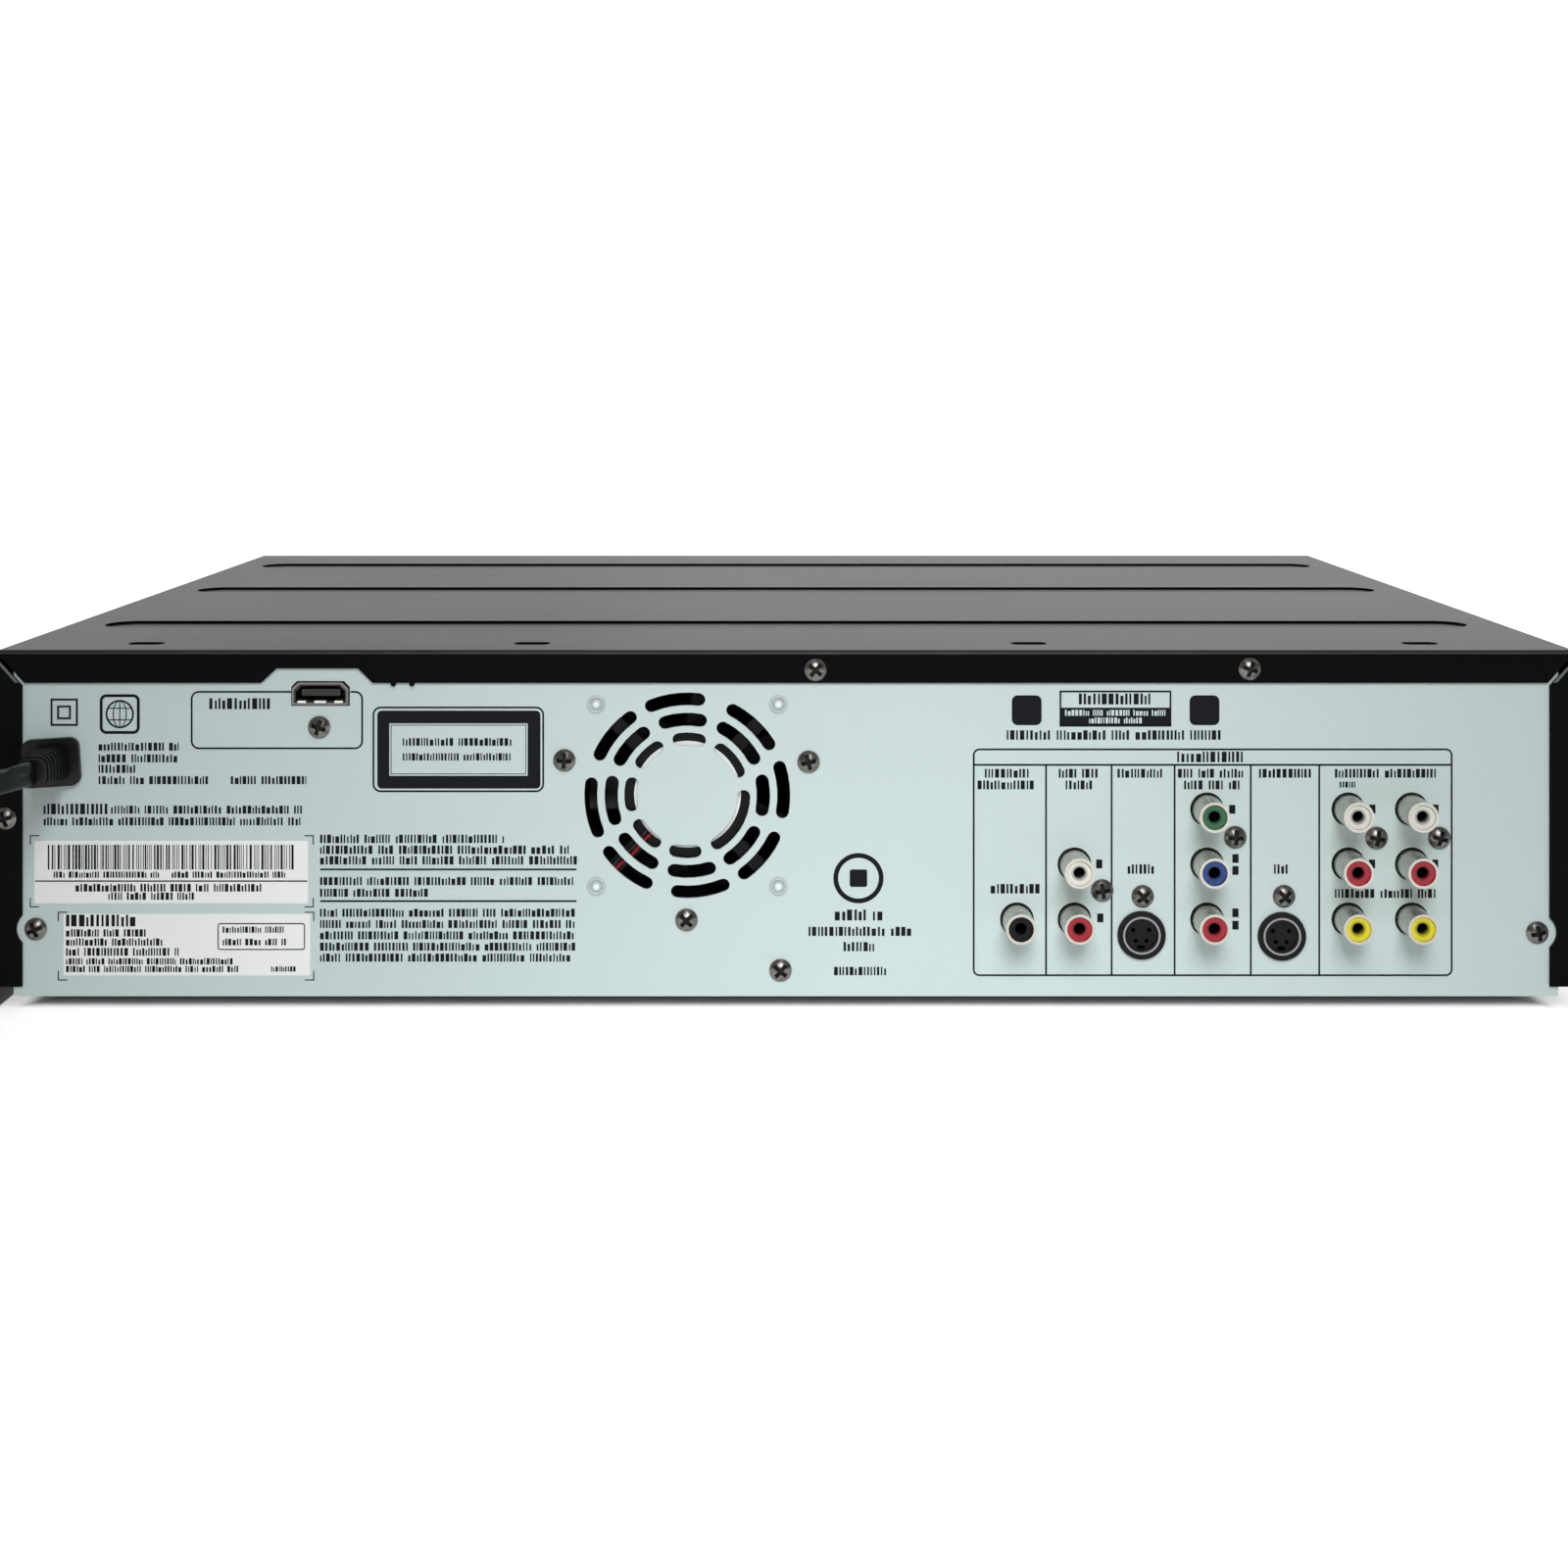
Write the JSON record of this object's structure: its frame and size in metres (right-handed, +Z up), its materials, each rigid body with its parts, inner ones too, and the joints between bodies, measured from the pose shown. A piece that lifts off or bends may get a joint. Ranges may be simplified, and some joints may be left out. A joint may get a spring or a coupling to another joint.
{
  "type": "dvd vcr combo player",
  "caption": "Disc and cassette combination player with a sheet steel case, a front disc tray and cassette door, and a socket panel, fan and captive mains lead at the back.",
  "frame": {"origin": "middle of the object's outline, seen from above, on the plane under the feet", "axes": "+Z up, -Y out of the front, +X to the right seen from the front"},
  "size_m": [0.5414, 0.3683, 0.0995],
  "materials": {
    "panel_grey": "pale grey-green semi-gloss paint with black print",
    "black_paint": "fine-textured satin black paint",
    "plated_steel": "zinc-plated sheet steel",
    "black_plastic": "black moulded plastic, satin",
    "key_black": "black moulded keys, satin",
    "key_silver": "silver-painted power key",
    "key_red": "dark red record key",
    "black_rubber": "black rubber",
    "smoked_window": "smoked display window, gloss",
    "green_board": "green solder mask",
    "brown_board": "brown paper laminate",
    "yellow_tape": "ferrite core and yellow winding tape",
    "capacitor_sleeve": "shrink sleeve",
    "bare_aluminium": "bare aluminium",
    "socket_black": "black moulded plastic",
    "nickel": "nickel plate",
    "screw_nickel": "dark nickel plate",
    "insert_white": "white plastic",
    "insert_red": "red plastic",
    "insert_yellow": "yellow plastic",
    "insert_green": "green plastic",
    "insert_blue": "blue plastic",
    "dark_plastic": "black engineering plastic",
    "white_plastic": "white acetal",
    "lead_pvc": "black soft vinyl, moulded plug and sleeve; the plug's blades are nickel-plated brass"
  },
  "bodies": {
    "case": {"rear_panel": "panel_grey", "top_cover": "black_paint", "chassis_base": "plated_steel", "front_bezel": "black_plastic", "rubber_feet": "black_rubber", "display_window": "smoked_window", "front_board": "green_board", "main_board": "brown_board", "power_board": "brown_board", "transformer": "yellow_tape", "capacitors": "capacitor_sleeve", "heat_sink": "bare_aluminium", "digital_board": "green_board", "socket_bodies": "socket_black", "jack_barrels": "nickel", "inserts_white": "insert_white", "inserts_red": "insert_red", "inserts_yellow": "insert_yellow", "insert_green": "insert_green", "insert_blue": "insert_blue", "hdmi_socket": "nickel", "fan_frame": "dark_plastic", "panel_screws": "screw_nickel", "base_screws": "screw_nickel", "cord_bushing": "lead_pvc", "power_cord": "lead_pvc", "cord_coil": "lead_pvc", "power_plug": "lead_pvc", "deck_plate": "plated_steel", "loader_frame": "plated_steel", "drum_base": "bare_aluminium", "drive_housing": "dark_plastic", "drive_cover": "plated_steel"},
    "fan": {"fan_rotor": "dark_plastic"},
    "drum": {"upper_drum": "bare_aluminium"},
    "capstan": {"capstan_flywheel": "bare_aluminium"},
    "pinch": {"pinch_arm": "plated_steel"},
    "pinch_wheel": {"pinch_roller": "black_rubber"},
    "supply_pole": {"supply_guide": "plated_steel"},
    "takeup_pole": {"takeup_guide": "plated_steel"},
    "supply": {"supply_reel": "white_plastic"},
    "takeup": {"takeup_reel": "white_plastic"},
    "guides": {"carriage_guides": "dark_plastic"},
    "carriage": {"cassette_carriage": "bare_aluminium"},
    "door": {"cassette_door": "black_plastic"},
    "tray": {"disc_tray": "dark_plastic", "tray_front": "black_plastic"},
    "pinion": {"tray_pinion": "white_plastic"},
    "traverse": {"traverse_frame": "plated_steel", "spindle_motor": "bare_aluminium"},
    "disc_table": {"turntable": "dark_plastic"},
    "sled": {"pickup_sled": "dark_plastic"},
    "power_key": {"power_button": "key_silver"},
    "eject_key": {"eject_button": "key_black"},
    "tray_key": {"tray_button": "key_black"},
    "rewind_key": {"rewind_button": "key_black"},
    "play_key": {"play_button": "key_black"},
    "forward_key": {"forward_button": "key_black"},
    "stop_key": {"stop_button": "key_black"},
    "record_key": {"record_button": "key_red"}
  },
  "joints": [
    {"name": "door_hinge", "type": "hinge", "parent": "case", "child": "door", "pos_m": [-0.105, -0.1617, 0.0911], "axis": [1, 0, 0], "range_deg": [0, 88]},
    {"name": "guides_slide", "type": "slide", "parent": "case", "child": "guides", "axis": [0, 1, 0], "range_m": [0, 0.045]},
    {"name": "carriage_drop", "type": "slide", "parent": "guides", "child": "carriage", "axis": [0, 0, -1], "range_m": [0, 0.022]},
    {"name": "tray_slide", "type": "slide", "parent": "case", "child": "tray", "axis": [0, -1, 0], "range_m": [0, 0.15]},
    {"name": "pinion_spin", "type": "hinge", "parent": "case", "child": "pinion", "pos_m": [0.059, -0.12, 0.0716], "axis": [0, 0, -1], "range_deg": [0, 1433]},
    {"name": "traverse_lift", "type": "hinge", "parent": "case", "child": "traverse", "pos_m": [0.12, 0.02, 0.059], "axis": [-1, 0, 0], "range_deg": [0, 4]},
    {"name": "disc_spin", "type": "hinge", "parent": "traverse", "child": "disc_table", "pos_m": [0.12, -0.075, 0.066], "axis": [0, 0, 1], "continuous": true},
    {"name": "sled_slide", "type": "slide", "parent": "traverse", "child": "sled", "axis": [0, 1, 0], "range_m": [0, 0.034]},
    {"name": "fan_spin", "type": "hinge", "parent": "case", "child": "fan", "pos_m": [0.0271, 0.1435, 0.0596], "axis": [0, 1, 0], "continuous": true},
    {"name": "drum_spin", "type": "hinge", "parent": "case", "child": "drum", "pos_m": [-0.105, 0.072, 0.048], "axis": [0, -0.1045, 0.9945], "continuous": true},
    {"name": "capstan_spin", "type": "hinge", "parent": "case", "child": "capstan", "pos_m": [-0.039, 0.034, 0.03], "axis": [0, 0, 1], "continuous": true},
    {"name": "pinch_swing", "type": "hinge", "parent": "case", "child": "pinch", "pos_m": [-0.022, 0.052, 0.042], "axis": [0, 0, 1], "range_deg": [0, 30]},
    {"name": "pinch_wheel_spin", "type": "hinge", "parent": "pinch", "child": "pinch_wheel", "pos_m": [-0.039, 0.04882, 0.05], "axis": [0, 0, 1], "continuous": true},
    {"name": "supply_pole_slide", "type": "slide", "parent": "case", "child": "supply_pole", "axis": [0, 1, 0], "range_m": [0, 0.06]},
    {"name": "takeup_pole_slide", "type": "slide", "parent": "case", "child": "takeup_pole", "axis": [0, 1, 0], "range_m": [0, 0.06]},
    {"name": "supply_spin", "type": "hinge", "parent": "case", "child": "supply", "pos_m": [-0.151, -0.0405, 0.04], "axis": [0, 0, 1], "continuous": true},
    {"name": "takeup_spin", "type": "hinge", "parent": "case", "child": "takeup", "pos_m": [-0.059, -0.0405, 0.04], "axis": [0, 0, 1], "continuous": true},
    {"name": "power_press", "type": "slide", "parent": "case", "child": "power_key", "axis": [0, 1, 0], "range_m": [0, 0.0008], "stiffness_N_per_m": 600},
    {"name": "eject_press", "type": "slide", "parent": "case", "child": "eject_key", "axis": [0, 1, 0], "range_m": [0, 0.0008], "stiffness_N_per_m": 600},
    {"name": "tray_press", "type": "slide", "parent": "case", "child": "tray_key", "axis": [0, 1, 0], "range_m": [0, 0.0008], "stiffness_N_per_m": 600},
    {"name": "rewind_press", "type": "slide", "parent": "case", "child": "rewind_key", "axis": [0, 1, 0], "range_m": [0, 0.0008], "stiffness_N_per_m": 600},
    {"name": "play_press", "type": "slide", "parent": "case", "child": "play_key", "axis": [0, 1, 0], "range_m": [0, 0.0008], "stiffness_N_per_m": 600},
    {"name": "forward_press", "type": "slide", "parent": "case", "child": "forward_key", "axis": [0, 1, 0], "range_m": [0, 0.0008], "stiffness_N_per_m": 600},
    {"name": "stop_press", "type": "slide", "parent": "case", "child": "stop_key", "axis": [0, 1, 0], "range_m": [0, 0.0008], "stiffness_N_per_m": 600},
    {"name": "record_press", "type": "slide", "parent": "case", "child": "record_key", "axis": [0, 1, 0], "range_m": [0, 0.0008], "stiffness_N_per_m": 600}
  ],
  "couplings": [
    {"joint": "pinion_spin", "follows": "tray_slide", "rad_per_m": 166.67},
    {"joint": "takeup_pole_slide", "follows": "supply_pole_slide", "ratio": 1}
  ]
}
